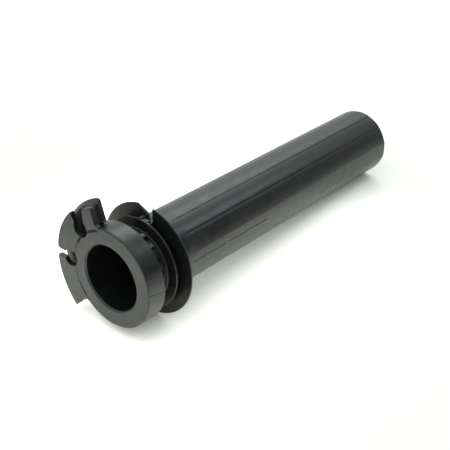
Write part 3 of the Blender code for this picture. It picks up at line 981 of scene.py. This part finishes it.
def flange_slot_cutter():
    """The slot in the flange: one upright wall, a floor and one ramped shoulder.

    It skims the raised floor by a hair, because faces in one plane confuse a Boolean.
    """
    floor = SLOT_FLOOR_TOP - SKIM
    ramp_top = SLOT_SHOULDER + SLOT_RAMP_SLOPE * (FLANGE_RADIUS - SLOT_LEFT)
    outline = round_corners([
        (SLOT_RIGHT, floor, 0.0),
        (SLOT_LEFT, floor, 0.0),
        (SLOT_LEFT, SLOT_SHOULDER, EDGE),
        (FLANGE_RADIUS, ramp_top, 0.0),
        (FLANGE_RADIUS, ramp_top + CLEAR, 0.0),
        (SLOT_RIGHT, ramp_top + CLEAR, 0.0),
    ])
    wide = offset_outline(outline, -FINE_EDGE)
    return loft("flange_slot_cutter", [
        (FLANGE_START - EDGE, wide),
        (FLANGE_START, wide),
        (FLANGE_START + FINE_EDGE, outline),
        (FLANGE_END + ROOT_FILLET, outline),
    ])


cutters = [
    seat_cutter("lower_seat_cutter", LOWER_SEAT_DEG),
    seat_cutter("upper_seat_cutter", UPPER_SEAT_DEG),
    slit_cutter(),
    slot_cutter(),
    flange_slot_cutter(),
]
for cutter in cutters:
    report(cutter)

# %% [markdown]
# ## One moulding
#
# The real tube leaves its mould in one piece, so the shapes are joined with an exact
# Boolean union and the seats and slots are cut with an exact difference. Both take a
# whole collection at once, which is quicker than one modifier for each shape. The
# helpers are deleted as soon as the result is a plain mesh.

# %% Join and cut
def boolean(made, others, operation):
    """Unite others with a piece, or cut them out of it, and delete them."""
    group = bpy.data.collections.new("boolean_" + operation.lower())
    for other in others:
        group.objects.link(other)
    modifier = made.modifiers.new(operation.lower(), "BOOLEAN")
    modifier.operation = operation
    modifier.solver = "EXACT"
    modifier.operand_type = "COLLECTION"
    modifier.collection = group
    plain_mesh(made)
    for other in others:
        bpy.data.objects.remove(other)
    bpy.data.collections.remove(group)


boolean(sleeve, [front_plate, rear_plate, gussets, level_gussets, stop_rib, slot_floor,
                 slot_ledge], "UNION")
report(sleeve)
boolean(sleeve, cutters, "DIFFERENCE")
report(sleeve)

# %% [markdown]
# ## Shading
#
# Flat faces next to small radii look dented when normals are simply averaged. Marking
# the true edges sharp and weighting each normal by the size of its faces keeps flats
# flat and radii round.

# %% Smooth shading with weighted normals
SHARP_DEG = 32.0


def shade(made):
    mesh = made.data
    mesh.materials.clear()
    mesh.materials.append(nylon)
    mesh.shade_smooth()
    mesh.set_sharp_from_angle(angle=math.radians(SHARP_DEG))
    weighted = made.modifiers.new("weighted_normals", "WEIGHTED_NORMAL")
    weighted.keep_sharp = True
    weighted.weight = 50


shade(sleeve)
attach(sleeve, "root")
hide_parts(CAD_NODE)

# %% [markdown]
# ## Floor
#
# The tube lies on a pale table. It touches with the flange's rim and the tip, and
# because the flange is the larger of the two, its axis slopes a little. In the part's
# own frame it is the table that slopes, so the floor is tilted to touch both.

# %% Floor under the flange and the tip
FLOOR_COLOUR = "f4f6ee"
FLOOR_SIZE = 6.0
# The floor also glows for camera, glossy and transmission rays. This is painted light: a pool
# of light round the tube, cut by a painted contact shadow from ambient occlusion.
FLOOR_GLOW = 0.92
GLOW_RIM = 0.15
GLOW_INNER = 45.0 * MM
GLOW_OUTER = 95.0 * MM
GLOW_FADES_FROM = 55.0 * MM
SHADOW_FROM = 0.06
SHADOW_TO = 0.82
SHADOW_REACH = 0.2
WEAVE_SIZE = 1.2 * MM
WEAVE_HEIGHT = 0.08 * MM


def floor_material():
    """Pale cloth-backed paper: bright, matt, with a faint woven grain, and a painted glow: a
    painted pool of light round the tube, dimmed by a painted contact shadow.
    """
    material, tree = new_material("pale_paper_with_painted_glow")
    place = add_node(tree, "ShaderNodeTexCoord").outputs["Object"]
    weave = add_node(tree, "ShaderNodeTexNoise", {
        "Vector": place, "Scale": 1.0 / WEAVE_SIZE, "Detail": 2.0})
    bump = add_node(tree, "ShaderNodeBump", {
        "Height": weave.outputs["Fac"], "Strength": 1.0, "Distance": WEAVE_HEIGHT})
    paper = add_node(tree, "ShaderNodeBsdfDiffuse", {
        "Color": linear(FLOOR_COLOUR), "Normal": bump.outputs["Normal"]})
    rays = add_node(tree, "ShaderNodeLightPath").outputs
    seen = calculate(tree, "MAXIMUM", rays["Is Camera Ray"], rays["Is Glossy Ray"])
    seen = calculate(tree, "MAXIMUM", seen, rays["Is Transmission Ray"])
    # The painted glow is a painted pool of light round the tube's line, and a painted shadow
    # dims it where ambient occlusion finds the sky hidden
    parts = add_node(tree, "ShaderNodeSeparateXYZ", {"Vector": place}).outputs
    towards_tip = calculate(tree, "SUBTRACT", parts["X"], GLOW_FADES_FROM)
    beyond = calculate(tree, "MAXIMUM", towards_tip, 0.0)
    ahead = calculate(tree, "MINIMUM", parts["X"], 0.0)
    past_end = calculate(tree, "ADD", beyond, ahead)
    from_pool = add_node(tree, "ShaderNodeCombineXYZ", {"X": past_end, "Y": parts["Y"]})
    away = add_node(tree, "ShaderNodeVectorMath", {0: from_pool.outputs[0]},
                    operation="LENGTH").outputs["Value"]
    painted_light_pool = remap(tree, away, GLOW_INNER, GLOW_OUTER, FLOOR_GLOW, GLOW_RIM)
    ao_painted_shadow = add_node(tree, "ShaderNodeAmbientOcclusion", {
        "Distance": SHADOW_REACH}, samples=8)
    ao_painted_shadow = remap(tree, ao_painted_shadow.outputs["AO"], SHADOW_FROM, SHADOW_TO)
    strength = calculate(tree, "MULTIPLY", seen, painted_light_pool)
    strength = calculate(tree, "MULTIPLY", strength, ao_painted_shadow)
    # Painted light: an emission in the floor's colour, whose strength is the painted pool times
    # the painted shadow
    painted_glow = add_node(tree, "ShaderNodeEmission", {
        "Color": linear(FLOOR_COLOUR), "Strength": strength})
    both = add_node(tree, "ShaderNodeAddShader", {
        0: paper.outputs["BSDF"], 1: painted_glow.outputs["Emission"]})
    add_node(tree, "ShaderNodeOutputMaterial", {"Surface": both.outputs["Shader"]})
    return material


def make_floor():
    """A large sheet that touches the flange's rim and the tip from below."""
    touch_flange = Vector((FLANGE_START + FLANGE_RIM / 2, 0.0, -FLANGE_RADIUS))
    touch_tip = Vector((TUBE_LENGTH - TIP_ROUNDING, 0.0, -TIP_RADIUS))
    along = (touch_tip - touch_flange).normalized()
    across = Vector((0.0, 1.0, 0.0))
    mesh = bpy.data.meshes.new("floor")
    half = FLOOR_SIZE / 2
    corners = [touch_flange + along * u * half + across * v * half
               for u, v in ((-1, -1), (1, -1), (1, 1), (-1, 1))]
    mesh.from_pydata([tuple(corner) for corner in corners], [], [(0, 1, 2, 3)])
    mesh.materials.append(floor_material())
    floor = bpy.data.objects.new("floor", mesh)
    bpy.context.scene.collection.objects.link(floor)
    slope = math.degrees(math.atan2(along.z, along.x))
    print("the floor slopes %.2f degrees in the part's frame" % slope)


make_floor()

# %% [markdown]
# ## Light
#
# Black plastic shows its surroundings more than its own colour, so the light is built as
# a light tent: white all round, with darker doorways. The one to the right draws the dark
# band along the flank, and two fainter ones dim the left side and the far end. A large
# softbox above and behind the tube lays the broad sheen along its top, and a smaller,
# cooler window light adds the streak beside it.

# %% World and lamps
TENT_COLOUR = "f8fcfa"
TENT_STRENGTH = 1.07
DOORWAYS = [
    # azimuth and elevation in degrees, then (degrees from there, share of the tent's light)
    (93.0, 6.0, ((0.0, 0.05), (11.0, 0.07), (24.0, 0.36), (42.0, 0.50), (58.0, 0.62),
                 (66.0, 0.82), (80.0, 1.0))),
    (-49.0, -2.0, ((0.0, 0.3), (9.0, 0.4), (24.0, 1.0))),
    (22.0, 4.0, ((0.0, 0.50), (14.0, 0.57), (34.0, 1.0))),
]


def direction(azimuth_deg, elevation_deg):
    """A direction; its azimuth runs to the right from the camera's own heading."""
    heading = math.radians(CAMERA_AZIMUTH_DEG + azimuth_deg)
    rise = math.radians(elevation_deg)
    return Vector((math.sin(heading) * math.cos(rise), math.cos(heading) * math.cos(rise),
                   math.sin(rise)))


def make_world():
    world = bpy.data.worlds.new("light_tent")
    world.use_nodes = True
    tree = world.node_tree
    tree.nodes.clear()
    ray = add_node(tree, "ShaderNodeTexCoord").outputs["Generated"]
    light = 1.0
    for azimuth, elevation, steps in DOORWAYS:
        facing = add_node(tree, "ShaderNodeVectorMath", {
            0: ray, 1: direction(azimuth, elevation)}, operation="DOT_PRODUCT")
        turn = calculate(tree, "ARCCOSINE", facing.outputs["Value"])
        share = calculate(tree, "DIVIDE", turn, math.pi / 2)
        ramp = add_node(tree, "ShaderNodeValToRGB", {"Fac": share})
        while len(ramp.color_ramp.elements) < len(steps):
            ramp.color_ramp.elements.new(1.0)
        for element, (turned, amount) in zip(ramp.color_ramp.elements, steps):
            element.position = turned / 90.0
            element.color = (amount, amount, amount, 1.0)
        light = calculate(tree, "MINIMUM", ramp.outputs["Color"], light)
    room = add_node(tree, "ShaderNodeMix", {
        "Factor": light, 6: (0.0, 0.0, 0.0, 1.0), 7: linear(TENT_COLOUR)}, data_type="RGBA")
    tent = add_node(tree, "ShaderNodeBackground", {
        "Color": room.outputs[2], "Strength": TENT_STRENGTH})
    white = add_node(tree, "ShaderNodeBackground", {"Color": (1.0, 1.0, 1.0, 1.0)})
    seen = add_node(tree, "ShaderNodeLightPath").outputs["Is Camera Ray"]
    both = add_node(tree, "ShaderNodeMixShader", {
        0: seen, 1: tent.outputs[0], 2: white.outputs[0]})
    add_node(tree, "ShaderNodeOutputWorld", {"Surface": both.outputs["Shader"]})
    bpy.context.scene.world = world


def add_softbox(name, azimuth, elevation, distance, width, height, radiance, colour):
    """A rectangular lamp that faces the tube from a direction given in degrees.

    The power follows from the radiance that the tube's skin should mirror.
    """
    way = direction(azimuth, elevation)
    lamp = bpy.data.lights.new(name, "AREA")
    lamp.shape = "RECTANGLE"
    lamp.size = width
    lamp.size_y = height
    lamp.energy = radiance * math.pi * width * height
    lamp.color = linear(colour)[:3]
    target = Vector((TUBE_LENGTH / 3, 0.0, 0.0))
    made = bpy.data.objects.new(name, lamp)
    made.location = target + way * distance
    made.rotation_mode = "QUATERNION"
    made.rotation_quaternion = way.to_track_quat("Z", "Y")
    bpy.context.scene.collection.objects.link(made)
    print("%s: %.1f W" % (name, lamp.energy))


make_world()
add_softbox("softbox_above", azimuth=6.0, elevation=46.0, distance=1.0,
            width=0.50, height=0.42, radiance=2.45, colour="f6fffb")
add_softbox("window_beside", azimuth=64.6, elevation=46.4, distance=0.30,
            width=0.046, height=0.05, radiance=8.8, colour="e2f0f8")

# %% Colour management
scene = bpy.context.scene
scene.view_settings.view_transform = "Standard"
